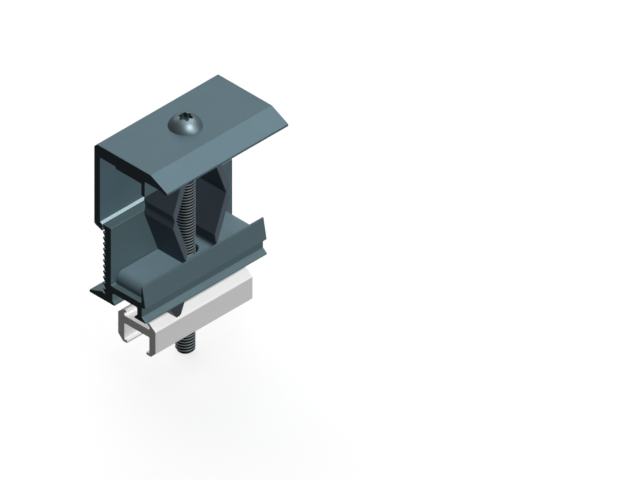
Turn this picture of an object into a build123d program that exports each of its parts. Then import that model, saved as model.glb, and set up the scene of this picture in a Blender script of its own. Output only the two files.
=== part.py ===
from build123d import *
import os

os.makedirs("parts", exist_ok=True)

# A height-adjustable end clamp that holds the edge of a solar panel on a mounting rail.
# Z is the bolt's axis, and z = 0 is the rail's top face, on which the clamp is seated.
# +X points to the panel, and both aluminium profiles run along Y. Sizes are in millimetres.

# Clearances
slide_clearance = 0.1
spacer_clearance = 0.1
touch_clearance = 0.05

# Both profiles
profile_length = 50.0
panel_height = 50.0
tooth_pitch = 2.0
tooth_steps = 10

# Button head bolt with a six-lobe drive, M6 x 80 as its tail below the nut leaves it
bolt_diameter = 6.0
bolt_tail = 10.2
bolt_point_chamfer = 0.8
head_diameter = 10.5
head_height = 3.6
drive_width = 4.5
drive_waist = 3.2
drive_flute_radius = 0.9
drive_depth = 2.0
drive_lobes = 6

# Clearance holes for the bolt
profile_hole_diameter = 6.6
spacer_hole_diameter = 7.5
guide_hole_diameter = 6.4
nut_hole_diameter = 6.1

# Base profile: trough, lip, legs and foot
floor_underside = 4.2
floor_thickness = 2.4
trough_left = -5.6
trough_right = 6.8
trough_fillet = 0.5
lip_height = 5.9
lip_edge = 0.5
lip_root_thickness = 1.8
lip_overhang_height = 5.3
lip_overhang_slope = 0.4
leg_thickness = 2.0
leg_offset = 0.3
flange_inner = 1.2
flange_outer = 1.6
flange_edge = 0.4
flange_slope = 1.35
leg_fillet = 0.6
left_leg_face = -5.0
left_leg_flare = 0.8
left_leg_flare_low = 0.6
left_leg_flare_high = 1.6
foot_tip = -14.5
foot_edge = 0.9
foot_peak = -9.3
foot_peak_height = 2.9

# Rack of teeth on the back of the base profile
tooth_tip = -9.1
tooth_root = -7.8
tooth_land = 0.15
first_tooth_top = 4.25
rack_head_height = 2.65
rack_head_chamfer = 0.4

# Top clamp profile: plate, nose, rib, back wall and hook
plate_thickness = 4.2
nose_reach = 17.5
nose_edge = 0.9
nose_relief = 0.5
nose_bead_width = 1.0
nose_bead_slope = 1.0
nose_bead_round = 0.2
bevel_start = 10.7
rib_thickness = 1.5
rib_depth = 5.0
pad_thickness = 0.8
pad_left = -3.5
pad_slope = 0.45
wall_outer = -12.6
wall_thickness = 2.5
corner_chamfer = 1.2
hook_height = 2.4
hook_rise = 0.55
hook_underside_rise = 1.0
hook_corner = 0.5

# Folding spacer: slab, two hinged walls and top plate, moulded in one piece
slab_thickness = 3.9
slab_length = 46.3
slab_round = 2.8
spacer_top_thickness = 3.0
spacer_top_length = 15.0
spacer_wall_root = 6.0
spacer_wall_spread = 11.7
spacer_wall_width = 2.35
spacer_groove_height = 4.7
spacer_hinge_thickness = 0.8
spacer_neck_height = 2.6
spacer_neck_width = 1.1
spacer_shoulder_height = 5.0
spacer_foot_width = 0.9

# Channel nut: an H-shaped extrusion with a tapped hole
rail_gap = 4.0
nut_length = 40.0
nut_width = 15.5
nut_height = 11.6
nut_wall = 2.65
nut_web_top = 2.2
nut_web_thickness = 2.8
nut_top_chamfer_x = 2.55
nut_top_chamfer_z = 2.0
nut_bottom_chamfer = 2.0
nut_lip_reach = 1.0
nut_lip_thickness = 0.7
nut_hook_reach = 1.2
nut_hook_thickness = 1.0

# Rail guide: a moulded bar between the legs, a boss on the nut and two lugs in the rail's slot
guide_length = 34.0
guide_leg_clearance = 0.15
guide_boss_diameter = 7.8
lug_reach = 8.7
lug_inner = 9.0
lug_draft = 1.6
lug_tip_width = 1.7
lug_slope_width = 2.5
lug_round = 1.2

# Places that follow from the sizes above
floor_top = floor_underside + floor_thickness
top_tooth = first_tooth_top + tooth_pitch * tooth_steps
upright_top = top_tooth + rack_head_height
plate_top = panel_height + plate_thickness
pad_underside = panel_height - pad_thickness
nut_top = -rail_gap
nut_bottom = nut_top - nut_height
nut_web_level = nut_top - nut_web_top
guide_left = left_leg_face + left_leg_flare + guide_leg_clearance
leg_left = trough_right + leg_offset - leg_thickness
leg_right = trough_right + leg_offset
flange_left = leg_left - flange_inner
flange_right = leg_right + flange_outer
guide_right = flange_left - guide_leg_clearance


def extrude_along_y(points, length):
    """Extrude a closed outline of (x, z) points equally to both sides of the bolt."""
    outline = Plane.XZ * Polyline(*points, close=True)
    return extrude(make_face(outline), amount=length / 2, both=True)


def extrude_along_x(points, start, end):
    """Extrude a closed outline of (y, z) points from one x to another."""
    outline = Plane.YZ.offset(start) * Polyline(*points, close=True)
    return extrude(make_face(outline), amount=end - start, dir=(1, 0, 0))


def bolt_hole(diameter, bottom, top):
    """A round cutter on the bolt's axis, a little longer than the wall it goes through."""
    overrun = 1.0
    height = top - bottom + 2 * overrun
    return Pos(0, 0, bottom - overrun) * extrude(Circle(diameter / 2), amount=height)


def edges_along_y(solid, x, z):
    """The edges parallel to Y that run through one (x, z) corner of a profile."""
    reach = 0.01
    inside_x = solid.edges().filter_by(Axis.Y).filter_by_position(Axis.X, x - reach, x + reach)
    return inside_x.filter_by_position(Axis.Z, z - reach, z + reach)


def mirrored(points):
    """Close a half outline by repeating its points in reverse on the other side."""
    return points + [(-across, level) for across, level in reversed(points)]


def rack_outline():
    """The base's toothed back from the lowest root up: flat tops and slanting undersides."""
    points = [(tooth_root, first_tooth_top - tooth_pitch)]
    for step in range(tooth_steps + 1):
        top = first_tooth_top + step * tooth_pitch
        points += [(tooth_tip, top - tooth_land), (tooth_tip, top), (tooth_root, top)]
    head_edge = top_tooth + tooth_pitch
    points += [(tooth_tip, head_edge), (tooth_tip + rack_head_chamfer, upright_top)]
    return points


def base_profile():
    """Extruded trough on two legs, with the toothed upright behind and a lip in front."""
    lip_top = floor_top + lip_height
    lip_outer = trough_right + lip_root_thickness
    right_leg = [
        (leg_right, lip_overhang_height - lip_overhang_slope),
        (leg_right, flange_edge + flange_slope),
        (flange_right, flange_edge),
        (flange_right, 0),
        (flange_left, 0),
        (flange_left, flange_edge),
        (leg_left, flange_edge + flange_slope),
        (leg_left, floor_underside),
    ]
    left_leg = [
        (left_leg_face, floor_underside),
        (left_leg_face, left_leg_flare_high),
        (left_leg_face + left_leg_flare, left_leg_flare_low),
        (left_leg_face + left_leg_flare, 0),
    ]
    foot = [(foot_tip, 0), (foot_tip, foot_edge), (foot_peak, foot_peak_height)]
    trough = [
        (trough_left, upright_top),
        (trough_left, floor_top),
        (trough_right, floor_top),
        (trough_right, lip_top),
        (trough_right + lip_edge, lip_top),
        (lip_outer, lip_overhang_height),
    ]
    profile = extrude_along_y(trough + right_leg + left_leg + foot + rack_outline(), profile_length)
    inner_corners = edges_along_y(profile, trough_left, floor_top)
    inner_corners += edges_along_y(profile, trough_right, floor_top)
    profile = fillet(inner_corners, trough_fillet)
    leg_corners = edges_along_y(profile, leg_left, floor_underside)
    leg_corners += edges_along_y(profile, left_leg_face, floor_underside)
    profile = fillet(leg_corners, leg_fillet)
    return profile - bolt_hole(profile_hole_diameter, floor_underside, floor_top)


def top_clamp_profile():
    """Extruded plate with a bevelled nose, a rib that stops the panel and a hooked back wall."""
    rib_right = trough_right + rib_thickness
    bead_left = nose_reach - nose_bead_round - nose_bead_width
    wall_inner = wall_outer + wall_thickness
    hook_face = tooth_tip - slide_clearance
    hook_bottom = top_tooth + touch_clearance
    hook_top = hook_bottom + hook_height
    wall_bottom = hook_bottom + hook_underside_rise
    outline = [
        (wall_outer + corner_chamfer, plate_top),
        (bevel_start, plate_top),
        (nose_reach, panel_height + nose_edge),
        (nose_reach, panel_height + nose_bead_round),
        (nose_reach - nose_bead_round, panel_height),
        (bead_left, panel_height),
        (bead_left - nose_bead_slope, panel_height + nose_relief),
        (rib_right, panel_height + nose_relief),
        (rib_right, panel_height - rib_depth),
        (trough_right, panel_height - rib_depth),
        (trough_right, pad_underside),
        (pad_left, pad_underside),
        (pad_left - pad_slope, panel_height),
        (wall_inner, panel_height),
        (wall_inner, hook_top + hook_rise),
        (hook_face, hook_top),
        (hook_face, hook_bottom),
        (wall_outer + hook_corner, wall_bottom),
        (wall_outer, wall_bottom + hook_corner),
        (wall_outer, plate_top - corner_chamfer),
    ]
    profile = extrude_along_y(outline, profile_length)
    return profile - bolt_hole(profile_hole_diameter, pad_underside, plate_top)


def spacer_wall(slab_top, plate_bottom):
    """One bent wall at +Y, as (y, z) points: thin at its middle hinge and at both ends."""
    middle = (slab_top + plate_bottom) / 2
    groove_half = spacer_groove_height / 2
    lean = (spacer_wall_spread - spacer_wall_root) / (middle - groove_half - slab_top)
    vertex = spacer_wall_root + lean * (middle - slab_top) - spacer_wall_width
    neck = spacer_wall_root + lean * spacer_neck_height - spacer_neck_width
    shoulder = spacer_wall_root + lean * spacer_shoulder_height - spacer_wall_width
    foot = spacer_wall_root - spacer_foot_width
    lower_half = [
        (spacer_wall_root, 0),
        (foot, 0),
        (neck, spacer_neck_height),
        (shoulder, spacer_shoulder_height),
        (vertex, middle - slab_top),
    ]
    inner = [(y, slab_top + rise) for y, rise in lower_half]
    inner += [(y, plate_bottom - rise) for y, rise in reversed(lower_half[:-1])]
    outer = [
        (spacer_wall_spread, middle + groove_half),
        (vertex + spacer_hinge_thickness, middle),
        (spacer_wall_spread, middle - groove_half),
    ]
    return inner + outer


def folding_spacer():
    """Moulded spacer that stands in the trough and folds flat as the top clamp comes down."""
    left = trough_left + spacer_clearance
    right = trough_right - spacer_clearance
    slab_top = floor_top + slab_thickness
    top = pad_underside - touch_clearance
    plate_bottom = top - spacer_top_thickness
    width = right - left
    centre = (left + right) / 2
    slab = Pos(centre, 0, floor_top + slab_thickness / 2) * Box(width, slab_length, slab_thickness)
    slab = chamfer(slab.faces().sort_by(Axis.Z)[0].edges().filter_by(Axis.Y), trough_fillet)
    slab_ends = slab.faces().sort_by(Axis.Z)[-1].edges().filter_by(Axis.X)
    slab = fillet(slab_ends, min(slab_round, slab_thickness - trough_fillet))
    plate = Pos(centre, 0, top - spacer_top_thickness / 2)
    plate *= Box(width, spacer_top_length, spacer_top_thickness)
    wall = extrude_along_x(spacer_wall(slab_top, plate_bottom), left, right)
    spacer = slab + plate + wall + mirror(wall, about=Plane.XZ)
    spacer -= bolt_hole(spacer_hole_diameter, floor_top, slab_top)
    return spacer - bolt_hole(spacer_hole_diameter, plate_bottom, top)


def drive_recess():
    """Six-lobe socket: a disc with round flutes cut from its edge."""
    flute_distance = drive_waist / 2 + drive_flute_radius
    flutes = PolarLocations(flute_distance, drive_lobes, start_angle=180 / drive_lobes)
    star = Circle(drive_width / 2) - flutes * Circle(drive_flute_radius)
    return extrude(star, amount=drive_depth)


def clamp_bolt():
    """Button head bolt, revolved, with its drive recess sunk in the dome."""
    head_radius = head_diameter / 2
    shank_radius = bolt_diameter / 2
    crown = plate_top + head_height
    arc = ThreePointArc(
        (head_radius, plate_top),
        (dome_radius_at(head_height / 2), plate_top + head_height / 2),
        (0, crown),
    )
    end = nut_bottom - bolt_tail
    lower = Polyline(
        (0, crown),
        (0, end),
        (shank_radius - bolt_point_chamfer, end),
        (shank_radius, end + bolt_point_chamfer),
        (shank_radius, plate_top),
        (head_radius, plate_top),
    )
    bolt = revolve(Plane.XZ * make_face([arc, lower]), Axis.Z)
    return bolt - Pos(0, 0, crown - drive_depth) * drive_recess()


def dome_radius_at(height):
    """Radius of the head's spherical dome at a height above its seat."""
    head_radius = head_diameter / 2
    sphere = (head_radius**2 + head_height**2) / (2 * head_height)
    above_centre = sphere - head_height + height
    return (sphere**2 - above_centre**2) ** 0.5


def channel_nut():
    """Extruded H section, chamfered outside, with inward lips above and hooks below."""
    outer = nut_width / 2
    inner = outer - nut_wall
    web_bottom = nut_web_level - nut_web_thickness
    right_half = [
        (0, nut_web_level),
        (inner, nut_web_level),
        (inner, nut_top - nut_lip_thickness - nut_lip_reach / 2),
        (inner - nut_lip_reach, nut_top - nut_lip_thickness),
        (inner - nut_lip_reach + nut_lip_thickness / 2, nut_top),
        (outer - nut_top_chamfer_x, nut_top),
        (outer, nut_top - nut_top_chamfer_z),
        (outer, nut_bottom + nut_bottom_chamfer),
        (outer - nut_bottom_chamfer, nut_bottom),
        (inner - nut_hook_reach, nut_bottom),
        (inner - nut_hook_reach, nut_bottom + nut_hook_thickness),
        (inner, nut_bottom + nut_hook_thickness),
        (inner, web_bottom),
        (0, web_bottom),
    ]
    inside = right_half[1:-1]
    nut = extrude_along_y(mirrored(inside), nut_length)
    return nut - bolt_hole(nut_hole_diameter, web_bottom, nut_web_level)


def guide_lug():
    """Wedge-shaped lug at +X and -Y that hangs under the flange and centres in the rail's slot."""
    top = -touch_clearance
    bottom = nut_top + touch_clearance
    tip_inner = -lug_inner - lug_draft
    tip_outer = tip_inner - lug_tip_width
    outline = [
        (-lug_inner, top),
        (tip_inner, bottom),
        (tip_outer, bottom),
        (tip_outer - lug_slope_width, top),
    ]
    lug = extrude_along_x(outline, 0, lug_reach)
    inner_tip_edge = lug.edges().filter_by(Axis.X).group_by(Axis.Z)[0].sort_by(Axis.Y)[-1]
    return fillet(inner_tip_edge, lug_round)


def rail_guide():
    """Moulded bar in the channel between the legs, with the boss and two opposite lugs."""
    bar_top = floor_underside - touch_clearance
    boss_bottom = nut_web_level + touch_clearance
    bar_width = guide_right - guide_left
    bar_bottom = -touch_clearance
    centre = Pos((guide_left + guide_right) / 2, 0, (bar_top + bar_bottom) / 2)
    bar = centre * Box(bar_width, guide_length, bar_top - bar_bottom)
    boss = Pos(0, 0, boss_bottom) * extrude(Circle(guide_boss_diameter / 2), amount=-boss_bottom)
    lug = guide_lug()
    guide = bar + boss + lug + Rot(0, 0, 180) * lug
    return guide - bolt_hole(guide_hole_diameter, boss_bottom, bar_top)


pieces = {
    "base_profile": base_profile(),
    "top_clamp_profile": top_clamp_profile(),
    "folding_spacer": folding_spacer(),
    "clamp_bolt": clamp_bolt(),
    "channel_nut": channel_nut(),
    "rail_guide": rail_guide(),
}
for name, piece in pieces.items():
    export_step(piece, f"parts/{name}.step")
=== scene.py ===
import math

import bmesh
import bpy
import numpy as np
from bpy.props import FloatProperty, FloatVectorProperty, IntProperty, PointerProperty
from bpy.types import Operator, Panel, PropertyGroup
from mathutils import Matrix, Vector


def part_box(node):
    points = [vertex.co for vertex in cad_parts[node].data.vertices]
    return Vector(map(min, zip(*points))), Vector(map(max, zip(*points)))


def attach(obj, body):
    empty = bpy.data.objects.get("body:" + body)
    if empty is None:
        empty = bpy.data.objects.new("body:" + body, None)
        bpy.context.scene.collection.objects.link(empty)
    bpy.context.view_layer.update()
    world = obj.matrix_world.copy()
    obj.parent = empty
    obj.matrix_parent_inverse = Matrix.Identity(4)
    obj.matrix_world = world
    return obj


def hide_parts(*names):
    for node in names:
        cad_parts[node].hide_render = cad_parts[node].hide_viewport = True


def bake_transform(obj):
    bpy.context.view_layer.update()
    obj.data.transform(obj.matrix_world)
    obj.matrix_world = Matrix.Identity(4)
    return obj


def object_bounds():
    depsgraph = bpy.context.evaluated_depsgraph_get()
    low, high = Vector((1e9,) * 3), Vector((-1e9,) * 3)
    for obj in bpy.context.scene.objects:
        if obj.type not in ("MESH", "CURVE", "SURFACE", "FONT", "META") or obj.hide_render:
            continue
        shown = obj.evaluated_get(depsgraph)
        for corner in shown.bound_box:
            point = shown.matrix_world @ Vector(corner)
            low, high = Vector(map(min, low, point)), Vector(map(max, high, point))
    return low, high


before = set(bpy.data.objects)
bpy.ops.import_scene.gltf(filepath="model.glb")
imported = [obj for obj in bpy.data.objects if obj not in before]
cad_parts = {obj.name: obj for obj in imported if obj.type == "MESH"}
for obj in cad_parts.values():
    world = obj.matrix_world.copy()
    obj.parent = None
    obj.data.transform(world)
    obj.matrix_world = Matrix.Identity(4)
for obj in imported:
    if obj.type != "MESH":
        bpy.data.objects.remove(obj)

bl_info = {
    "name": "Solar End Clamp",
    "version": (1, 0, 0),
    "blender": (4, 5, 0),
    "location": "View3D > Sidebar > End Clamp",
    "description": "Height-adjustable clamp for the edge of a solar panel, with its finishes and studio",
    "category": "Add Mesh",
}

MM = 0.001
X, Y, Z = 0, 1, 2
WHITE = (1, 1, 1, 1)

# Points or heights that are no further apart than this count as one
SAME_PLACE = 0.001 * MM

# The CAD box, from straight after loading
cad_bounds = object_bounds()

# Places that the pieces take from the frame
spacer_low, spacer_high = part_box("folding_spacer")
base_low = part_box("base_profile")[0]
top_low, top_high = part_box("top_clamp_profile")
bolt_low, bolt_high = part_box("clamp_bolt")
head_seat = top_high.z
head_radius = (bolt_high.x - bolt_low.x) / 2


def linear(hex_colour):
    """An sRGB hex colour as linear red, green and blue."""
    channels = np.array([int(hex_colour[i:i + 2], 16) for i in (0, 2, 4)]) / 255
    low = channels / 12.92
    high = ((channels + 0.055) / 1.055) ** 2.4
    return tuple(np.where(channels <= 0.04045, low, high).tolist())


def length(name, description, millimetres):
    """A length property whose default is given in millimetres."""
    return FloatProperty(name=name, description=description, default=millimetres * MM, unit="LENGTH")


def degrees(name, description, default):
    """An angle property whose default is given in degrees."""
    return FloatProperty(name=name, description=description, default=math.radians(default), subtype="ANGLE")


def fraction(name, description, default):
    """A property for a share of the whole, usually between 0 and 1."""
    return FloatProperty(
        name=name, description=description, default=default, subtype="FACTOR", min=0, soft_max=1
    )


def pixels(name, description, default):
    """A property for a length or a place in the picture, in pixels."""
    return FloatProperty(name=name, description=description, default=default, subtype="PIXEL")


def colour(name, description, hex_colour):
    """A colour property whose default is an sRGB hex value."""
    return FloatVectorProperty(
        name=name, description=description, default=linear(hex_colour), subtype="COLOR", min=0, max=1
    )


class EndClampSizes(PropertyGroup):
    """Sizes that the CAD frame doesn't give."""

    profile_edge: length("Profile edge", "Radius along the edges of both anodised extrusions", 0.22)
    nut_edge: length("Nut edge", "Radius along the edges of the channel nut", 0.3)
    spacer_edge: length("Spacer edge", "Radius on the moulded spacer's edges", 0.3)
    groove_radius: length("Groove radius", "Hollow of the fold half way up the spacer's walls", 3)
    foot_fillet: length("Foot fillet", "Hollow fillet between the spacer's walls and slab", 1.5)
    cut_edge: length("Cut edge", "Radius left by deburring the saw-cut ends", 0.15)
    guide_edge: length("Guide edge", "Radius on the rail guide's edges", 0.2)
    edge_steps: IntProperty(name="Edge steps", description="Segments in a rounded edge", default=4, min=1)
    hook_height: length("Hook height", "Height of the top clamp's hook with its upper slope", 4)
    profile_hole: length("Profile hole", "Bolt hole through both profiles", 6.6)
    spacer_hole: length("Spacer hole", "Bolt hole through the spacer", 7.5)
    nut_hole: length("Nut hole", "Tapped hole through the nut", 6.1)
    thread_diameter: length("Thread diameter", "Major diameter of the bolt's thread", 6.0)
    thread_pitch: length("Thread pitch", "Distance from one thread crest to the next", 1.0)
    point_chamfer: length("Point chamfer", "Chamfer at the bolt's point", 0.8)
    head_height: length("Head height", "Height of the button head's full dome", 3.6)
    head_edge: length("Head edge", "Radius round the rim of the head", 0.15)
    drive_width: length("Drive width", "Across opposite lobes of the drive recess", 4.5)
    drive_waist: length("Drive waist", "Across opposite flutes of the drive recess", 3.2)
    drive_depth: length("Drive depth", "Depth of the drive recess below the crown", 2.0)
    drive_lead: length("Drive lead-in", "Chamfer round the mouth of the drive recess", 0.15)
    drive_lobes: IntProperty(name="Drive lobes", description="Lobes of the drive recess", default=6, min=2)
    drive_turn: degrees("Drive turn", "Turn of the recess as the bolt stands", 30)


class EndClampFinishes(PropertyGroup):
    """Colours of the clamp's surfaces."""

    anodised_top: colour("Top clamp", "Dyed oxide layer of the top clamp", "576e77")
    anodised_base: colour("Base", "Dyed oxide layer of the base", "576d73")
    # Painted shade: the sawn ends are coloured darker, by this share of the dye's colour, where little light
    # falls
    painted_end_shade: fraction("Cut ends", "Shade of the sawn ends beside the rest", 0.3)
    # Painted highlight: the hook's upper slope is coloured paler, as if it caught the light
    hook_highlight: colour("Rubbed hook", "Oxide that the teeth have rubbed pale on the hook's slope", "b0c6cb")
    mill_aluminium: colour("Nut", "Bare extruded aluminium of the nut", "e1e1e1")
    spacer_slab: colour("Spacer slab", "Glass-filled polyamide in the spacer's thick slab", "647a84")
    spacer_walls: colour("Spacer walls", "Glass-filled polyamide in the spacer's thin walls", "4b5660")
    guide_plastic: colour("Guide", "Glass-filled polyamide of the rail guide", "383b43")
    bolt_steel: colour("Bolt head", "Dark zinc plating on the bolt", "788a90")
    # Painted shade: the drive recess is coloured darker, where little light reaches
    recess_shade: colour("Drive recess", "Plating left dull in the drive recess", "465259")
    thread_crest: colour("Thread crests", "Plating that the nut has rubbed bright", "98a4a9")
    # Painted shade: the thread's roots are coloured near black, where light does not reach
    root_shade: colour("Thread roots", "Plating and oil in the roots of the thread", "0e1112")


class EndClampStudio(PropertyGroup):
    """Camera, floor and lamps."""

    picture_width: pixels("Picture width", "Pixels across the picture", 640)
    picture_height: pixels("Picture height", "Pixels down the picture", 480)
    picture_scale: FloatProperty(
        name="Picture scale", description="Pixels of the picture for each millimetre", default=3.434
    )
    origin_column: pixels("Origin column", "Pixel column of the origin", 185.3)
    origin_row: pixels("Origin row", "Pixel row of the origin", 277.2)
    azimuth: degrees("Azimuth", "Camera's turn round Z", 45)
    elevation: degrees("Elevation", "Camera's height angle", math.degrees(math.asin(1 / math.sqrt(3))))
    key_light: fraction("Key", "Lamp high on the panel's side", 0.73)
    side_light: fraction("Side", "Lamp low on the panel's side", 0.22)
    back_light: fraction("Back", "Lamp high behind, which the bevel mirrors", 0.237)
    top_light: fraction("Top", "Lamp straight above", 0.134)
    fill_light: fraction("Fill", "Wide lamp on the toothed side", 0.25)
    ambient: fraction("Ambient", "Even light of the room", 0.01)
    reflected: fraction("Reflected", "How pale gloss sees the room", 0.04)
    bounce: fraction("Bounce", "Floor's albedo for the light it throws back", 0.12)
    floor_pale: fraction("Floor", "Albedo of the floor as it is seen", 0.75)
    floor_glow: fraction("Floor glow", "Even glow that brings the floor to white", 0.2)


def end_outlines(node, axis):
    """Closed outlines of a prism's lowest end face, largest first, as points across the axis.

    Places are rounded to 0.0001 mm, to find the corners that triangles share. The end face's
    triangles give directed edges, and one whose reverse is missing is on the border. Each
    border point's successor is doubled until it has gone all round, which gives the lowest
    index on its own outline and the steps left to reach it.
    """
    decimals_of_metre = 7
    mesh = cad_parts[node].data
    mesh.calc_loop_triangles()
    corners = np.empty(len(mesh.loop_triangles) * 3, np.int64)
    mesh.loop_triangles.foreach_get("vertices", corners)
    places = np.empty(len(mesh.vertices) * 3, np.float32)
    mesh.vertices.foreach_get("co", places)
    places = places.reshape(-1, 3).round(decimals_of_metre)
    places, index = np.unique(places, axis=0, return_inverse=True)
    triangles = index.ravel()[corners].reshape(-1, 3)
    in_end_face = (places[triangles][..., axis] == places[:, axis].min()).all(axis=1)
    starts = triangles[in_end_face].ravel()
    ends = np.roll(triangles[in_end_face], -1, axis=1).ravel()
    border = ~np.isin(starts * len(places) + ends, ends * len(places) + starts)
    starts, ends = starts[border], ends[border]
    following = np.arange(len(places))
    following[starts] = ends
    doublings = math.ceil(math.log2(len(starts))) + 1
    lowest = np.arange(len(places))
    jump = following.copy()
    for _ in range(doublings):
        lowest = np.minimum(lowest, lowest[jump])
        jump = jump[jump]
    is_first = lowest == np.arange(len(places))
    jump = np.where(is_first, lowest, following)
    steps = np.where(is_first, 0, 1)
    for _ in range(doublings):
        steps = steps + steps[jump]
        jump = jump[jump]
    steps[is_first] = len(places)
    outlines = []
    for first in np.unique(lowest[starts]):
        ring = starts[lowest[starts] == first]
        ring = ring[np.argsort(-steps[ring])]
        outlines.append(places[ring][:, [(axis + 1) % 3, (axis + 2) % 3]])
    outlines.sort(key=lambda ring: -np.ptp(ring, axis=0).prod())
    return [anticlockwise(ring) for ring in outlines]


def anticlockwise(ring):
    """The same outline, turned round if its signed area, half the sum of u dv - v du, is negative."""
    following = np.roll(ring, -1, axis=0)
    area = (ring[:, 0] * following[:, 1] - ring[:, 1] * following[:, 0]).sum() / 2
    return ring if area > 0 else ring[::-1]


def wall_on_axis(outline):
    """Lowest and highest place where the bolt's axis crosses an outline of (z, x) points."""
    z, x = outline.T
    next_z, next_x = np.roll(z, -1), np.roll(x, -1)
    crossing = (x > 0) != (next_x > 0)
    share = -x[crossing] / (next_x - x)[crossing]
    heights = z[crossing] + share * (next_z - z)[crossing]
    return heights.min(), heights.max()


def rounded(corners, radius, steps):
    """Points, outward normals and room to move of a closed outline with its corners rounded.

    The radius is one number, or a column with one for each corner. Each corner becomes a
    quadratic curve that starts and ends one tangent length from it: the radius times the
    tangent of half the turn, but no less than 0.001 and no more than 0.45 of the shorter side.
    At t the point is (1 - t)^2 start + 2 t (1 - t) corner + t^2 end. The room is half the
    radius that was reached, inwards at a corner that stands out and outwards at one that turns
    in, so that an outline moved within it never crosses itself.
    """
    back = np.roll(corners, 1, axis=0) - corners
    ahead = np.roll(corners, -1, axis=0) - corners
    back_length = np.linalg.norm(back, axis=1, keepdims=True)
    ahead_length = np.linalg.norm(ahead, axis=1, keepdims=True)
    back, ahead = back / back_length, ahead / ahead_length
    turn = math.pi - np.arccos(np.clip((back * ahead).sum(axis=1, keepdims=True), -1, 1))
    shorter = np.minimum(back_length, ahead_length)
    tangent = np.clip(radius * np.tan(turn / 2), 1e-3 * shorter, 0.45 * shorter)
    start, end = corners + back * tangent, corners + ahead * tangent
    t = np.linspace(0, 1, steps + 1)[None, :, None]
    points = (1 - t) ** 2 * start[:, None] + 2 * t * (1 - t) * corners[:, None] + t ** 2 * end[:, None]
    travel = (1 - t) * (corners - start)[:, None] + t * (end - corners)[:, None]
    travel = travel / np.linalg.norm(travel, axis=2, keepdims=True)
    normals = np.stack([travel[..., 1], -travel[..., 0]], axis=2)
    stands_out = back[:, 1] * ahead[:, 0] > back[:, 0] * ahead[:, 1]
    reached = 0.5 * (tangent / np.tan(turn / 2))[:, 0]
    room = np.stack([np.where(stands_out, np.inf, reached), np.where(stands_out, reached, np.inf)])
    return points.reshape(-1, 2), normals.reshape(-1, 2), np.repeat(room, steps + 1, axis=1)


def quarter_round(low, high, edge, steps):
    """Stations along a prism with rounded ends, and how far each ring is inset.

    At angle f of a quarter turn the station is edge * (1 - cos f) from its end, and the inset
    is edge * (1 - sin f).
    """
    f = np.linspace(0, math.pi / 2, steps + 1)
    rise, inset = edge * (1 - np.cos(f)), edge * (1 - np.sin(f))
    return np.concatenate([low + rise, high - rise[::-1]]), np.concatenate([inset, inset[::-1]])


def carried(outline, normals, room, stations, insets, axis):
    """An outline carried along an axis, as a grid of stations by points, each ring inset within its room."""
    moves = np.clip(insets[:, None], -room[0], room[1])
    across = outline[None] - normals[None] * moves[..., None]
    rings = np.empty((len(stations), len(outline), 3))
    rings[..., axis] = stations[:, None]
    rings[..., (axis + 1) % 3] = across[..., 0]
    rings[..., (axis + 2) % 3] = across[..., 1]
    return rings


def ring_faces(ring_count, around):
    """Quads between neighbouring rings, closed round each ring, and one cap at each end."""
    index = np.arange(ring_count * around).reshape(ring_count, around)
    ahead = np.roll(index, -1, axis=1)
    quads = np.stack([index[:-1], ahead[:-1], ahead[1:], index[1:]], axis=2).reshape(-1, 4)
    return quads.tolist() + [index[0, ::-1].tolist(), index[-1].tolist()]


def mesh_object(name, points, faces):
    """A mesh object at the origin, with its place in its mesh."""
    mesh = bpy.data.meshes.new(name)
    mesh.from_pydata(points.reshape(-1, 3).tolist(), [], faces)
    mesh.validate()
    piece = bpy.data.objects.new(name, mesh)
    bpy.context.scene.collection.objects.link(piece)
    return piece


def prism(name, outline, radius, low, high, edge, steps, axis):
    """A prism whose long edges and ends are both rounded."""
    stations, insets = quarter_round(low, high, edge, steps)
    rings = carried(*rounded(outline, radius, steps), stations, insets, axis)
    return mesh_object(name, rings, ring_faces(*rings.shape[:2]))


def cutter(outline, radius, low, high, edge, steps, axis):
    """A prism that flares at both faces of the wall it cuts, so that the rims come out rounded."""
    overrun = 1 * MM
    stations, insets = quarter_round(low, high, edge, steps)
    stations = np.concatenate([[low - overrun], stations, [high + overrun]])
    insets = -np.concatenate([[edge], insets, [edge]])
    rings = carried(*rounded(outline, radius, steps), stations, insets, axis)
    return mesh_object("cutter", rings, ring_faces(*rings.shape[:2]))


def round_cutter(diameter, low, high, edge, steps):
    """A cutter for a round hole on the bolt's axis, with corners at radius * (cos a, sin a)."""
    corners = 48
    angle = np.linspace(0, 2 * math.pi, corners, endpoint=False)
    circle = np.stack([np.cos(angle), np.sin(angle)], axis=1) * diameter / 2
    return cutter(circle, diameter / 2, low, high, edge, steps, Z)


def apply_modifiers(piece):
    """Turn what a piece's modifiers make of its mesh into its mesh."""
    evaluated = piece.evaluated_get(bpy.context.evaluated_depsgraph_get())
    mesh = bpy.data.meshes.new_from_object(evaluated)
    piece.modifiers.clear()
    piece.data = mesh
    mesh.name = piece.name


def cut(piece, cutters):
    """Take the cutters out of a piece, and delete them."""
    for tool in cutters:
        modifier = piece.modifiers.new("hole", "BOOLEAN")
        modifier.operation = "DIFFERENCE"
        modifier.solver = "EXACT"
        modifier.object = tool
    apply_modifiers(piece)
    for tool in cutters:
        bpy.data.meshes.remove(tool.data)


def extrusion(node, edge, hole, sizes):
    """An extruded node: its end's outline carried along Y, with a hole for the bolt.

    The radius along the extrusion is the edge's, and the sawn ends and the hole's rims have
    the deburred one.
    """
    low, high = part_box(node)
    outline = end_outlines(node, Y)[0]
    deburred = sizes.cut_edge, sizes.edge_steps
    piece = prism(f"{node}_extrusion", outline, edge, low.y, high.y, *deburred, Y)
    cut(piece, [round_cutter(hole, *wall_on_axis(outline), *deburred)])
    return piece


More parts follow.
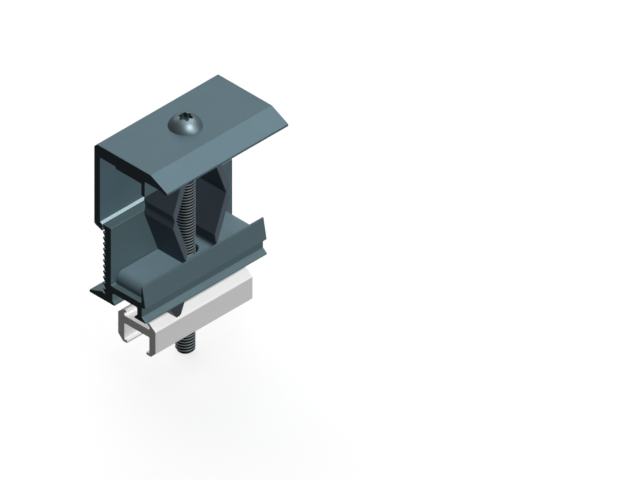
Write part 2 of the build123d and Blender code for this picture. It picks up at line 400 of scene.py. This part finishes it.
def shade(piece):
    """Smooth shading that breaks at sharp edges and keeps flat faces flat."""
    sharp = math.radians(32)
    piece.data.polygons.foreach_set("use_smooth", np.ones(len(piece.data.polygons), bool))
    piece.data.set_sharp_from_angle(angle=sharp)
    modifier = piece.modifiers.new("flat_faces", "WEIGHTED_NORMAL")
    modifier.keep_sharp = True


def finish_piece(piece, material):
    """Shade a piece and give it its only material."""
    shade(piece)
    piece.data.materials.clear()
    piece.data.materials.append(material)


def empty_tree(owner):
    """The node tree of a material or a world, switched on and emptied."""
    owner.use_nodes = True
    owner.node_tree.nodes.clear()
    return owner.node_tree


def add(tree, kind, inputs=None, **settings):
    """Add a shader node, set its fields, and set or link its inputs.

    An input goes by its name, or by its number where several share a name. A Mix node has its
    factor at 0, its two numbers at 2 and 3 and its two colours at 6 and 7. Its mixed number
    comes out at 0 and its mixed colour at 2.
    """
    node = tree.nodes.new(kind)
    for field, value in settings.items():
        setattr(node, field, value)
    for socket, value in (inputs or {}).items():
        if isinstance(value, bpy.types.NodeSocket):
            tree.links.new(value, node.inputs[socket])
        else:
            node.inputs[socket].default_value = value
    return node


def new_material(name):
    """A material with its node tree, its Principled shader and its texture coordinates."""
    material = bpy.data.materials.new(name)
    tree = empty_tree(material)
    shader = add(tree, "ShaderNodeBsdfPrincipled")
    add(tree, "ShaderNodeOutputMaterial", {"Surface": shader.outputs[0]})
    return material, tree, shader, add(tree, "ShaderNodeTexCoord")


def rgba(rgb, share=1.0):
    """A colour with its alpha, made lighter or darker by a share."""
    return tuple(min(channel * share, 1.0) for channel in rgb) + (1.0,)


def tinted(tree, rgb, pattern, spread):
    """A colour that runs from darker to lighter by the spread as a pattern goes from 0 to 1."""
    shades = {0: pattern, 6: rgba(rgb, 1 - spread), 7: rgba(rgb, 1 + spread)}
    return add(tree, "ShaderNodeMix", shades, data_type="RGBA").outputs[2]


def die_lines(tree, coordinates, width):
    """Noise drawn out along Y, as an extrusion die leaves it, with lines of the given width."""
    stretch = 0.012
    placed = add(tree, "ShaderNodeMapping", {"Vector": coordinates, "Scale": (1, stretch, 1)})
    settings = {"Vector": placed.outputs[0], "Scale": 1 / width, "Detail": 4, "Roughness": 0.6}
    return add(tree, "ShaderNodeTexNoise", settings).outputs[0]


def saw_marks(tree, coordinates, width):
    """Slanting arcs across a cut end, as a circular saw leaves them.

    They are rings round the saw's axis, 90 mm behind the bolt and 120 mm above the rail. A
    wave texture of scale 1 repeats about every 0.31 units, which gives the scale for a width.
    """
    from_saw_axis = (90 * MM, 0, -120 * MM)
    wave_repeat = 0.31
    placed = add(tree, "ShaderNodeMapping", {"Vector": coordinates, "Location": from_saw_axis})
    settings = {"Vector": placed.outputs[0], "Scale": wave_repeat / width, "Distortion": 0.6, "Detail": 2}
    wave = add(tree, "ShaderNodeTexWave", settings, wave_type="RINGS", rings_direction="Y")
    return wave.outputs[1]


def end_mask(tree, normal):
    """1 where the surface faces along Y, which is a cut end, and 0 elsewhere.

    It rises from 0 to 1 as the normal's Y, without its sign, goes from 0.8 to 0.95.
    """
    split = add(tree, "ShaderNodeSeparateXYZ", {0: normal})
    facing = add(tree, "ShaderNodeMath", {0: split.outputs[1]}, operation="ABSOLUTE")
    steps = {"Value": facing.outputs[0], "From Min": 0.8, "From Max": 0.95}
    return add(tree, "ShaderNodeMapRange", steps).outputs[0]


def extruded_finish(tree, texture, line_width, mark_width):
    """Die lines along the extrusion and saw marks on its cut ends, as one pattern and its mask."""
    coordinates = texture.outputs["Object"]
    ends = end_mask(tree, texture.outputs["Normal"])
    lines = die_lines(tree, coordinates, line_width)
    marks = saw_marks(tree, coordinates, mark_width)
    return add(tree, "ShaderNodeMix", {0: ends, 2: lines, 3: marks}).outputs[0], ends


def faces_up_below(tree, texture, highest):
    """1 where the surface faces upwards below a height, and 0 elsewhere.

    It rises from 0 to 1 as the normal's Z goes from 0.4 to 0.7.
    """
    facing = add(tree, "ShaderNodeSeparateXYZ", {0: texture.outputs["Normal"]}).outputs[2]
    upwards = add(tree, "ShaderNodeMapRange", {"Value": facing, "From Min": 0.4, "From Max": 0.7}).outputs[0]
    height = add(tree, "ShaderNodeSeparateXYZ", {0: texture.outputs["Object"]}).outputs[2]
    below = add(tree, "ShaderNodeMath", {0: height, 1: highest}, operation="LESS_THAN").outputs[0]
    return add(tree, "ShaderNodeMath", {0: upwards, 1: below}, operation="MULTIPLY").outputs[0]


def anodised_aluminium(slot, finishes, highlight_below):
    """Extruded aluminium, etched and anodised in slate grey.

    The etched oxide layer gives a soft satin gloss over the metal and its dye, with faint die lines
    along the extrusion and saw marks on its ends, which are rougher and carry a painted shade.
    Real die lines lie 0.05 mm apart, which is too fine to show, so they are drawn 0.35 mm wide.
    Clouds about 11 mm wide stand for the bath's uneven dye. What faces upwards below a given
    height gets a paler colour, a painted highlight, as on the hook's upper slope.
    """
    line_width, mark_width, cloud_width = 0.35 * MM, 0.5 * MM, 11.1 * MM
    cloud_share, spread, highlight_spread = 0.45, 0.14, 0.06
    sawn_roughness = 0.62
    rgb = getattr(finishes, slot)
    # The sawn ends get a painted shade: the dye's colour times the end-shade share
    end_shade_rgb = [finishes.painted_end_shade * channel for channel in rgb]
    material, tree, shader, texture = new_material(f"{slot}_aluminium")
    pattern, ends = extruded_finish(tree, texture, line_width, mark_width)
    cloudy = {"Vector": texture.outputs["Object"], "Scale": 1 / cloud_width, "Detail": 3}
    clouds = add(tree, "ShaderNodeTexNoise", cloudy)
    mottled = add(tree, "ShaderNodeMix", {0: cloud_share, 2: pattern, 3: clouds.outputs[0]})
    relief = {"Height": pattern, "Strength": 0.35, "Distance": 0.02 * MM}
    bump = add(tree, "ShaderNodeBump", relief)
    satin = add(tree, "ShaderNodeMapRange", {"Value": pattern, "To Min": 0.4, "To Max": 0.52})
    roughness = add(tree, "ShaderNodeMix", {0: ends, 2: satin.outputs[0], 3: sawn_roughness})
    long_faces = tinted(tree, rgb, mottled.outputs[0], spread)
    shaded_end_faces = tinted(tree, end_shade_rgb, pattern, spread)
    # Long faces keep the dye's colour, and the ends get the painted shade
    dye_and_end_shade = add(tree, "ShaderNodeMix", {0: ends, 6: long_faces, 7: shaded_end_faces}, data_type="RGBA")
    # Painted highlight: up-facing surfaces below the height take the paler hook colour
    hook_highlight_mix = {
        0: faces_up_below(tree, texture, highlight_below),
        6: dye_and_end_shade.outputs[2],
        7: tinted(tree, finishes.hook_highlight, pattern, highlight_spread),
    }
    base = add(tree, "ShaderNodeMix", hook_highlight_mix, data_type="RGBA")
    tree.links.new(base.outputs[2], shader.inputs["Base Color"])
    tree.links.new(roughness.outputs[0], shader.inputs["Roughness"])
    tree.links.new(bump.outputs[0], shader.inputs["Normal"])
    shader.inputs["Metallic"].default_value = 0.35
    shader.inputs["Specular IOR Level"].default_value = 0.3
    return material


def mill_finish_aluminium(rgb):
    """Bare extruded aluminium, as it leaves the press.

    It is pale and half bright, with die lines that show more than under an oxide layer. They are
    drawn 0.45 mm wide, because the real ones are too fine to show.
    """
    line_width, mark_width = 0.45 * MM, 0.6 * MM
    spread, sawn_roughness = 0.04, 0.62
    material, tree, shader, texture = new_material("mill_finish_aluminium")
    pattern, ends = extruded_finish(tree, texture, line_width, mark_width)
    bump = add(tree, "ShaderNodeBump", {"Height": pattern, "Strength": 0.4, "Distance": 0.03 * MM})
    drawn = add(tree, "ShaderNodeMapRange", {"Value": pattern, "To Min": 0.42, "To Max": 0.56})
    roughness = add(tree, "ShaderNodeMix", {0: ends, 2: drawn.outputs[0], 3: sawn_roughness})
    tree.links.new(tinted(tree, rgb, pattern, spread), shader.inputs["Base Color"])
    tree.links.new(roughness.outputs[0], shader.inputs["Roughness"])
    tree.links.new(bump.outputs[0], shader.inputs["Normal"])
    shader.inputs["Metallic"].default_value = 0.3
    shader.inputs["Specular IOR Level"].default_value = 0.2
    return material


def moulded_polyamide(name, rgb, thick_rgb, thick_top, fillet):
    """Glass-filled polyamide, moulded in a spark-eroded tool.

    The tool's fine pits leave a dull grain, drawn 0.3 mm wide so that it shows, and the glass
    fibres give faint paler clouds a few millimetres across. Up to the height thick_top the
    piece is thick, and its skin, which sets last, comes out in a shade of its own. The fillets
    that stand on it take that shade where they face upwards, which is painted light on the hollow.
    """
    grain_width, cloud_width = 0.3 * MM, 5 * MM
    cloud_share = 0.6
    material, tree, shader, texture = new_material(name)
    coordinates = texture.outputs["Object"]
    grain = add(tree, "ShaderNodeTexNoise", {"Vector": coordinates, "Scale": 1 / grain_width, "Detail": 3})
    clouds = add(tree, "ShaderNodeTexNoise", {"Vector": coordinates, "Scale": 1 / cloud_width, "Detail": 4})
    mottled = add(tree, "ShaderNodeMix", {0: cloud_share, 2: grain.outputs[0], 3: clouds.outputs[0]})
    relief = {"Height": grain.outputs[0], "Strength": 0.4, "Distance": 0.03 * MM}
    bump = add(tree, "ShaderNodeBump", relief)
    split = add(tree, "ShaderNodeSeparateXYZ", {0: coordinates})
    above = add(tree, "ShaderNodeMath", {0: split.outputs[2], 1: thick_top}, operation="GREATER_THAN")
    # Painted light: where the foot fillets face upwards they take the thick part's shade
    lit_hollow = faces_up_below(tree, texture, thick_top + fillet)
    thin = add(tree, "ShaderNodeMath", {0: above.outputs[0], 1: lit_hollow}, operation="SUBTRACT", use_clamp=True)
    shades = {0: thin.outputs[0], 6: rgba(thick_rgb), 7: rgba(rgb)}
    plain = add(tree, "ShaderNodeMix", shades, data_type="RGBA").outputs[2]
    cloudy = {"Value": mottled.outputs[0], "To Min": 0.84, "To Max": 1.16}
    share = add(tree, "ShaderNodeMapRange", cloudy).outputs[0]
    base = add(tree, "ShaderNodeVectorMath", {0: plain, 3: share}, operation="SCALE")
    dull = {"Value": grain.outputs[0], "To Min": 0.5, "To Max": 0.68}
    roughness = add(tree, "ShaderNodeMapRange", dull)
    tree.links.new(base.outputs[0], shader.inputs["Base Color"])
    tree.links.new(roughness.outputs[0], shader.inputs["Roughness"])
    tree.links.new(bump.outputs[0], shader.inputs["Normal"])
    shader.inputs["IOR"].default_value = 1.53
    shader.inputs["Specular IOR Level"].default_value = 0.25
    return material


def plated_steel(finishes, thread_radii, seat, dome):
    """Rolled steel with a dark zinc plating.

    The plating is satin and a little uneven, in spots drawn 0.4 mm wide. The crests of the
    thread are rubbed brighter, and its roots are coloured near black as a painted shade, so the
    colour below the head follows the radius. The drive recess is coloured darker as a painted
    shade: it starts 0.08 mm below the sphere of the head's dome and is full at 0.25 mm.
    """
    spot_width, shade_start, shade_full = 0.4 * MM, 0.08 * MM, 0.25 * MM
    spread, crest_spread = 0.12, 0.1
    root_radius, crest_radius = thread_radii
    dome_centre, dome_radius = dome
    material, tree, shader, texture = new_material("dark_zinc_plated_steel")
    coordinates = texture.outputs["Object"]
    split = add(tree, "ShaderNodeSeparateXYZ", {0: coordinates})
    flat = add(tree, "ShaderNodeCombineXYZ", {0: split.outputs[0], 1: split.outputs[1]})
    radius = add(tree, "ShaderNodeVectorMath", {0: flat.outputs[0]}, operation="LENGTH").outputs["Value"]
    reach = {"Value": radius, "From Min": root_radius, "From Max": crest_radius}
    on_crest = add(tree, "ShaderNodeMapRange", reach, interpolation_type="SMOOTHSTEP").outputs[0]
    on_head = add(tree, "ShaderNodeMath", {0: split.outputs[2], 1: seat}, operation="GREATER_THAN").outputs[0]
    spots = {"Vector": coordinates, "Scale": 1 / spot_width, "Detail": 4}
    grain = add(tree, "ShaderNodeTexNoise", spots).outputs[0]
    # Painted shade in the thread's roots, running up to the rubbed crests
    thread_shades = {
        0: on_crest,
        6: rgba(finishes.root_shade),
        7: tinted(tree, finishes.thread_crest, grain, crest_spread),
    }
    shank = add(tree, "ShaderNodeMix", thread_shades, data_type="RGBA")
    centre = {0: coordinates, 1: (0, 0, dome_centre)}
    from_centre = add(tree, "ShaderNodeVectorMath", centre, operation="DISTANCE").outputs["Value"]
    # Painted shade in the drive recess, by depth below the sphere of the dome
    recess_shade_depth = {
        "Value": from_centre,
        "From Min": dome_radius - shade_full,
        "From Max": dome_radius - shade_start,
    }
    head_shades = {
        0: add(tree, "ShaderNodeMapRange", recess_shade_depth).outputs[0],
        6: rgba(finishes.recess_shade),
        7: tinted(tree, finishes.bolt_steel, grain, spread),
    }
    head = add(tree, "ShaderNodeMix", head_shades, data_type="RGBA")
    shades = {0: on_head, 6: shank.outputs[2], 7: head.outputs[2]}
    base = add(tree, "ShaderNodeMix", shades, data_type="RGBA")
    bump = add(tree, "ShaderNodeBump", {"Height": grain, "Strength": 0.25, "Distance": 0.02 * MM})
    roughness = add(tree, "ShaderNodeMapRange", {"Value": grain, "To Min": 0.4, "To Max": 0.5})
    tree.links.new(base.outputs[2], shader.inputs["Base Color"])
    tree.links.new(roughness.outputs[0], shader.inputs["Roughness"])
    tree.links.new(bump.outputs[0], shader.inputs["Normal"])
    shader.inputs["Metallic"].default_value = 0.8
    return material


class ENDCLAMP_OT_profiles(Operator):
    """Build the two anodised extrusions, the toothed base and the hooked top clamp"""

    bl_idname = "endclamp.profiles"
    bl_label = "Aluminium Profiles"

    def execute(self, context):
        sizes, finishes = context.scene.endclamp_sizes, context.scene.endclamp_finishes

        # The last value is the height below which a profile's up-facing slopes get the painted highlight:
        # none of the base does
        rows = (
            ("base", "base_profile", "anodised_base", base_low.z),
            ("top_clamp", "top_clamp_profile", "anodised_top", top_low.z + sizes.hook_height),
        )
        for body, node, slot, highlight_below in rows:
            piece = extrusion(node, sizes.profile_edge, sizes.profile_hole, sizes)
            finish_piece(piece, anodised_aluminium(slot, finishes, highlight_below))
            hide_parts(node)
            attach(piece, body)
        return {"FINISHED"}


class ENDCLAMP_OT_nut(Operator):
    """Build the channel nut, an H-shaped extrusion with a tapped hole"""

    bl_idname = "endclamp.nut"
    bl_label = "Channel Nut"

    def execute(self, context):
        sizes, finishes = context.scene.endclamp_sizes, context.scene.endclamp_finishes
        piece = extrusion("channel_nut", sizes.nut_edge, sizes.nut_hole, sizes)
        finish_piece(piece, mill_finish_aluminium(finishes.mill_aluminium))
        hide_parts("channel_nut")
        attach(piece, "nut")
        return {"FINISHED"}


class ENDCLAMP_OT_spacer(Operator):
    """Build the folding spacer, with thin hinges in its walls"""

    bl_idname = "endclamp.spacer"
    bl_label = "Folding Spacer"

    def execute(self, context):
        sizes, finishes = context.scene.endclamp_sizes, context.scene.endclamp_finishes
        outer, opening = end_outlines("folding_spacer", X)[:2]
        slab_top, plate_bottom = opening[:, 1].min(), opening[:, 1].max()

        # The slab's lower edges are chamfered, so its end faces stop above the sole. The outline's
        # lowest side is moved down to it.
        outer = outer.astype(float)
        lowest_side = outer[:, 1] < outer[:, 1].min() + SAME_PLACE
        outer[lowest_side, 1] = spacer_low.z

        edge, steps = sizes.spacer_edge, sizes.edge_steps
        in_groove = np.abs(outer[:, 1:] - (slab_top + plate_bottom) / 2) < SAME_PLACE
        radii = np.where(in_groove, sizes.groove_radius, edge)
        piece = prism("folding_spacer_moulding", outer, radii, spacer_low.x, spacer_high.x, edge, steps, X)
        opening = self.with_fillets(opening, slab_top, sizes.foot_fillet)
        cut(piece, [
            cutter(opening, edge, spacer_low.x, spacer_high.x, edge, steps, X),
            round_cutter(sizes.spacer_hole, spacer_low.z, slab_top, edge, steps),
            round_cutter(sizes.spacer_hole, plate_bottom, spacer_high.z, edge, steps),
        ])
        colours = finishes.spacer_walls, finishes.spacer_slab
        plastic = moulded_polyamide("spacer_polyamide", *colours, slab_top, sizes.foot_fillet)
        finish_piece(piece, plastic)
        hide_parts("folding_spacer")
        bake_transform(piece)
        return {"FINISHED"}

    @staticmethod
    def with_fillets(opening, slab_top, radius):
        """The opening, with a hollow quarter circle where each wall stands on the slab.

        Each wall's inner slope runs on down to the height of the circle, whose points at angle
        a are centre + radius * (cos a, sin a). The other foot is its mirror image.
        """
        arc_points = 9
        right_foot = (opening[:, 1] < slab_top + SAME_PLACE) & (opening[:, 0] > 0)
        opening = np.roll(opening, -np.flatnonzero(right_foot)[0], axis=0)
        foot, neck, shoulder = opening[:3]
        share = (foot[1] + radius - shoulder[1]) / (neck[1] - shoulder[1])
        centre = shoulder[0] + share * (neck[0] - shoulder[0]) - radius
        angle = np.linspace(-math.pi / 2, 0, arc_points)
        across, height = centre + radius * np.cos(angle), foot[1] + radius * (1 + np.sin(angle))
        right = np.stack([across, height], axis=1)
        left = right[::-1] * [-1, 1]
        return np.concatenate([right, opening[2:-2], left])


class ENDCLAMP_OT_bolt(Operator):
    """Build the bolt: a helical thread and a button head with a six-lobe recess"""

    bl_idname = "endclamp.bolt"
    bl_label = "Clamp Bolt"

    def execute(self, context):
        sizes, finishes = context.scene.endclamp_sizes, context.scene.endclamp_finishes
        inside_head = head_seat + 0.25 * sizes.head_height
        shank, shank_faces = self.thread(sizes, bolt_low.z, inside_head)
        head = self.head(sizes)
        faces = shank_faces + [[i + len(shank) for i in face] for face in ring_faces(*head.shape[:2])]
        piece = mesh_object("clamp_bolt_threaded", np.concatenate([shank, head.reshape(-1, 3)]), faces)
        self.close_seams(piece)
        crest = sizes.thread_diameter / 2
        half_way = crest - 0.5 * self.thread_depth(sizes)
        steel = plated_steel(finishes, (half_way, crest), head_seat, self.dome(sizes))
        finish_piece(piece, steel)
        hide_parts("clamp_bolt")
        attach(piece, "bolt")
        return {"FINISHED"}

    @staticmethod
    def thread_depth(sizes):
        """Depth of a metric thread: 0.6134 of its pitch."""
        return 0.6134 * sizes.thread_pitch

    def thread(self, sizes, low, high):
        """A right-hand metric thread, as a function of the turned angle and the profile's share.

        At angle a and share s of one pitch the height is low + pitch * (a / 2 pi + s - 1.5),
        where 1.5 is half of the spare turns. The radius is the crest's up to a share of 1 / 8,
        the root's from 7 / 16 to 11 / 16 and a little less half way, and on a flank between
        them. The last share of a turn is the first of the next, so neighbouring turns share
        their points. Heights are clipped to the shank and radii to a 45 degree cone at each
        end, where a flat cap closes it.
        """
        samples, spare_turns = 48, 3
        pitch, crest = sizes.thread_pitch, sizes.thread_diameter / 2
        root, point = crest - self.thread_depth(sizes), crest - sizes.point_chamfer
        deepest = root - pitch / 48
        shares = np.array([0, 1 / 8, 7 / 16, 9 / 16, 11 / 16])
        radii = np.array([crest, crest, root, deepest, root])
        turns = math.ceil((high - low) / pitch) + spare_turns
        angle = np.arange(turns * samples + 1)[:, None] * 2 * math.pi / samples
        height = low + pitch * (angle / (2 * math.pi) - spare_turns / 2 + shares[None])
        height = np.clip(height, low, high)
        cone = point + np.minimum(height - low, high - height)
        radius = np.minimum(radii[None], cone)
        points = np.stack([radius * np.cos(angle), radius * np.sin(angle), height], axis=2)
        index = np.arange(points.shape[0] * points.shape[1]).reshape(points.shape[:2])
        index = np.concatenate([index, np.roll(index[:, :1], -samples, axis=0)], axis=1)[:-samples]
        quads = np.stack([index[:-1, :-1], index[1:, :-1], index[1:, 1:], index[:-1, 1:]], axis=2)
        return points.reshape(-1, 3), quads.reshape(-1, 4).tolist()

    @staticmethod
    def dome(sizes):
        """Height of the centre and radius of the sphere through the head's rim and crown."""
        radius = (head_radius ** 2 + sizes.head_height ** 2) / (2 * sizes.head_height)
        return head_seat + sizes.head_height - radius, radius

    def head(self, sizes):
        """The button head, as a grid of stations by angles.

        The dome is part of a sphere through the rim and the crown. Its radius goes from a circle
        at the rim to the recess's outline, and its height follows the sphere. That outline is
        the waist plus the lobes' reach times a power of (1 + cos 6a) / 2, with the angle a
        measured from the turn of the drive. From the recess's mouth the stations go down its
        wall to a shallow cone at its floor.
        """
        points_in_lobe, lobe_power, dome_stations = 24, 0.8, 15
        angle = np.linspace(0, 2 * math.pi, points_in_lobe * sizes.drive_lobes, endpoint=False)
        lobe = (0.5 + 0.5 * np.cos(sizes.drive_lobes * (angle - sizes.drive_turn))) ** lobe_power
        star = (sizes.drive_waist + (sizes.drive_width - sizes.drive_waist) * lobe) / 2
        centre, sphere = self.dome(sizes)
        lead, edge = sizes.drive_lead, sizes.head_edge
        share = np.linspace(0, 1, dome_stations)[:, None]
        dome_radius = (head_radius - edge) * (1 - share) + (star + lead) * share
        dome_height = centre + np.sqrt(sphere ** 2 - dome_radius ** 2)
        mouth = dome_height[-1]
        floor = head_seat + sizes.head_height - sizes.drive_depth
        circle = np.ones_like(angle)
        stations = [
            # Underside, from inside the shank to the blunt rim
            (0.2 * head_radius * circle, head_seat * circle),
            ((head_radius - edge) * circle, head_seat * circle),
            ((head_radius - 0.3 * edge) * circle, (head_seat + 0.03 * edge) * circle),

            # Dome
            *zip(dome_radius, dome_height),

            # Recess: its chamfered mouth, its wall and the cone at its floor
            (star + 0.4 * lead, mouth - 0.2 * lead),
            (star, mouth - 0.9 * lead),
            (star, (floor + 2 * lead) * circle),
            (star - 0.5 * lead, floor * circle),
            (0.1 * star, (floor - lead) * circle),
        ]
        radius = np.stack([station[0] for station in stations])
        height = np.stack([station[1] for station in stations])
        return np.stack([radius * np.cos(angle), radius * np.sin(angle), height], axis=2)

    @staticmethod
    def close_seams(piece):
        """Merge points that the thread's clipped ends share, and cap the rings that are left open."""
        made = bmesh.new()
        made.from_mesh(piece.data)
        bmesh.ops.remove_doubles(made, verts=made.verts, dist=SAME_PLACE)
        open_edges = [edge for edge in made.edges if edge.is_boundary]
        bmesh.ops.holes_fill(made, edges=open_edges)
        bmesh.ops.recalc_face_normals(made, faces=made.faces)
        made.to_mesh(piece.data)
        made.free()


class ENDCLAMP_OT_guide(Operator):
    """Build the moulded rail guide, a merged copy of its solid with softened edges"""

    bl_idname = "endclamp.guide"
    bl_label = "Rail Guide"

    def execute(self, context):
        sizes, finishes = context.scene.endclamp_sizes, context.scene.endclamp_finishes
        sharp = math.radians(35)
        piece = bpy.data.objects.new("rail_guide_moulding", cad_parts["rail_guide"].data.copy())
        context.scene.collection.objects.link(piece)
        weld = piece.modifiers.new("joined_facets", "WELD")
        weld.merge_threshold = SAME_PLACE
        soften = piece.modifiers.new("soft_edges", "BEVEL")
        soften.width = sizes.guide_edge
        soften.segments = sizes.edge_steps
        soften.limit_method = "ANGLE"
        soften.angle_limit = sharp
        apply_modifiers(piece)

        # One shade all through, so it makes no difference where the guide counts as thick
        one_shade = finishes.guide_plastic, finishes.guide_plastic
        plastic = moulded_polyamide("guide_polyamide", *one_shade, thick_top=0, fillet=0)
        finish_piece(piece, plastic)
        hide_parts("rail_guide")
        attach(piece, "guide")
        return {"FINISHED"}


class ENDCLAMP_OT_stage(Operator):
    """Set up the pale floor, the camera and the soft studio light"""

    bl_idname = "endclamp.stage"
    bl_label = "Studio"

    def execute(self, context):
        studio = context.scene.endclamp_studio
        context.scene.view_settings.view_transform = "Standard"
        self.camera(context.scene, studio)
        self.lamps(studio)
        self.world(context.scene, studio)
        self.floor(studio)
        return {"FINISHED"}

    @staticmethod
    def camera(scene, studio):
        """An orthographic camera on the photograph's isometric axis."""
        data = bpy.data.cameras.new("studio_camera")
        data.type = "ORTHO"
        data.ortho_scale = studio.picture_width / studio.picture_scale * MM
        turn, rise = studio.azimuth, studio.elevation
        right = Vector((math.cos(turn), math.sin(turn), 0))
        back = Vector((math.sin(turn) * math.cos(rise), -math.cos(turn) * math.cos(rise), math.sin(rise)))
        up = back.cross(right)
        to_right = (studio.picture_width / 2 - studio.origin_column) / studio.picture_scale * MM
        to_top = (studio.origin_row - studio.picture_height / 2) / studio.picture_scale * MM
        distance = 0.6
        camera = bpy.data.objects.new("studio_camera", data)
        camera.matrix_world = Matrix.Translation(right * to_right + up * to_top + back * distance) @ (
            Matrix((right, up, back)).transposed().to_4x4()
        )
        scene.collection.objects.link(camera)
        scene.camera = camera

    @staticmethod
    def lamps(studio):
        """Five wide suns, whose strength of pi times the share lights a surface facing them by it.

        Three cast no shadow: they stand for the even light of a white room, which reaches into
        every hollow. The other two lay the soft shadow on the floor.
        """
        rows = (
            ("key_lamp", (0.652, -0.035, 0.757), 25, studio.key_light, False),
            ("side_lamp", (0.93, 0.25, 0.27), 40, studio.side_light, False),
            ("back_lamp", (0.1, 0.58, 0.81), 30, studio.back_light, False),
            ("top_lamp", (0, 0, 1), 40, studio.top_light, True),
            ("fill_lamp", (-0.7, 0.4, 0.6), 60, studio.fill_light, True),
        )
        for name, towards, breadth, share, casts_shadow in rows:
            data = bpy.data.lights.new(name, "SUN")
            data.energy = math.pi * share
            data.angle = math.radians(breadth)
            data.use_shadow = casts_shadow
            lamp = bpy.data.objects.new(name, data)
            lamp.rotation_euler = Vector(towards).to_track_quat("Z", "Y").to_euler()
            bpy.context.scene.collection.objects.link(lamp)

    @staticmethod
    def seen_share(tree, studio):
        """1 for camera and transmission rays, and the reflected share for glossy ones."""
        path = add(tree, "ShaderNodeLightPath")
        seen = add(tree, "ShaderNodeMath", {
            0: path.outputs["Is Camera Ray"], 1: path.outputs["Is Transmission Ray"],
        }, operation="MAXIMUM")
        return add(tree, "ShaderNodeMath", {
            0: path.outputs["Is Glossy Ray"], 1: studio.reflected, 2: seen.outputs[0],
        }, operation="MULTIPLY_ADD", use_clamp=True).outputs[0]

    def world(self, scene, studio):
        """A dim even room that the camera and gloss see as white."""
        world = bpy.data.worlds.new("studio_room")
        tree = empty_tree(world)
        room = add(tree, "ShaderNodeBackground", {"Color": WHITE, "Strength": studio.ambient})
        white = add(tree, "ShaderNodeBackground", {"Color": WHITE, "Strength": 1})
        both = add(tree, "ShaderNodeMixShader", {
            0: self.seen_share(tree, studio), 1: room.outputs[0], 2: white.outputs[0],
        })
        add(tree, "ShaderNodeOutputWorld", {"Surface": both.outputs[0]})
        scene.world = world

    def floor(self, studio):
        """A wide pale floor at the bolt's point, which shows white and keeps a soft shadow."""
        reach, level = 3.0, cad_bounds[0][2]
        side = np.linspace(-reach, reach, 2)
        x, y = np.meshgrid(side, side)
        points = np.stack([x, y, np.full_like(x, level)], axis=2)
        floor = mesh_object("studio_floor", points, [[0, 1, 3, 2]])
        material = bpy.data.materials.new("pale_studio_floor")
        tree = empty_tree(material)
        thrown_back = add(tree, "ShaderNodeBsdfDiffuse", {"Color": rgba((studio.bounce,) * 3)})
        lit = add(tree, "ShaderNodeBsdfDiffuse", {"Color": rgba((studio.floor_pale,) * 3)})
        glow = add(tree, "ShaderNodeEmission", {"Color": WHITE, "Strength": studio.floor_glow})
        pale = add(tree, "ShaderNodeAddShader", {0: lit.outputs[0], 1: glow.outputs[0]})
        both = add(tree, "ShaderNodeMixShader", {
            0: self.seen_share(tree, studio), 1: thrown_back.outputs[0], 2: pale.outputs[0],
        })
        add(tree, "ShaderNodeOutputMaterial", {"Surface": both.outputs[0]})
        floor.data.materials.append(material)


class ENDCLAMP_PT_panel(Panel):
    """Lists the clamp's pieces, sizes and finishes"""

    bl_idname = "ENDCLAMP_PT_panel"
    bl_label = "Solar End Clamp"
    bl_space_type = "VIEW_3D"
    bl_region_type = "UI"
    bl_category = "End Clamp"

    def draw(self, context):
        for operator in OPERATORS:
            self.layout.operator(operator.bl_idname)
        for name in GROUPS:
            box = self.layout.box()
            settings = getattr(context.scene, name)
            for field in settings.__annotations__:
                box.prop(settings, field)


GROUPS = {
    "endclamp_sizes": EndClampSizes,
    "endclamp_finishes": EndClampFinishes,
    "endclamp_studio": EndClampStudio,
}
OPERATORS = (
    ENDCLAMP_OT_stage,
    ENDCLAMP_OT_profiles,
    ENDCLAMP_OT_nut,
    ENDCLAMP_OT_spacer,
    ENDCLAMP_OT_bolt,
    ENDCLAMP_OT_guide,
)
CLASSES = (*GROUPS.values(), *OPERATORS, ENDCLAMP_PT_panel)


def register():
    """Register the classes and hang the settings on the scene."""
    for group in CLASSES:
        bpy.utils.register_class(group)
    for name, group in GROUPS.items():
        setattr(bpy.types.Scene, name, PointerProperty(type=group))


def unregister():
    """Take the settings off the scene and remove the classes."""
    for name in GROUPS:
        delattr(bpy.types.Scene, name)
    for group in reversed(CLASSES):
        bpy.utils.unregister_class(group)


def main():
    """Build every piece and the studio."""
    register()
    bpy.ops.endclamp.stage()
    bpy.ops.endclamp.profiles()
    bpy.ops.endclamp.nut()
    bpy.ops.endclamp.spacer()
    bpy.ops.endclamp.bolt()
    bpy.ops.endclamp.guide()


if __name__ == "__main__":
    main()
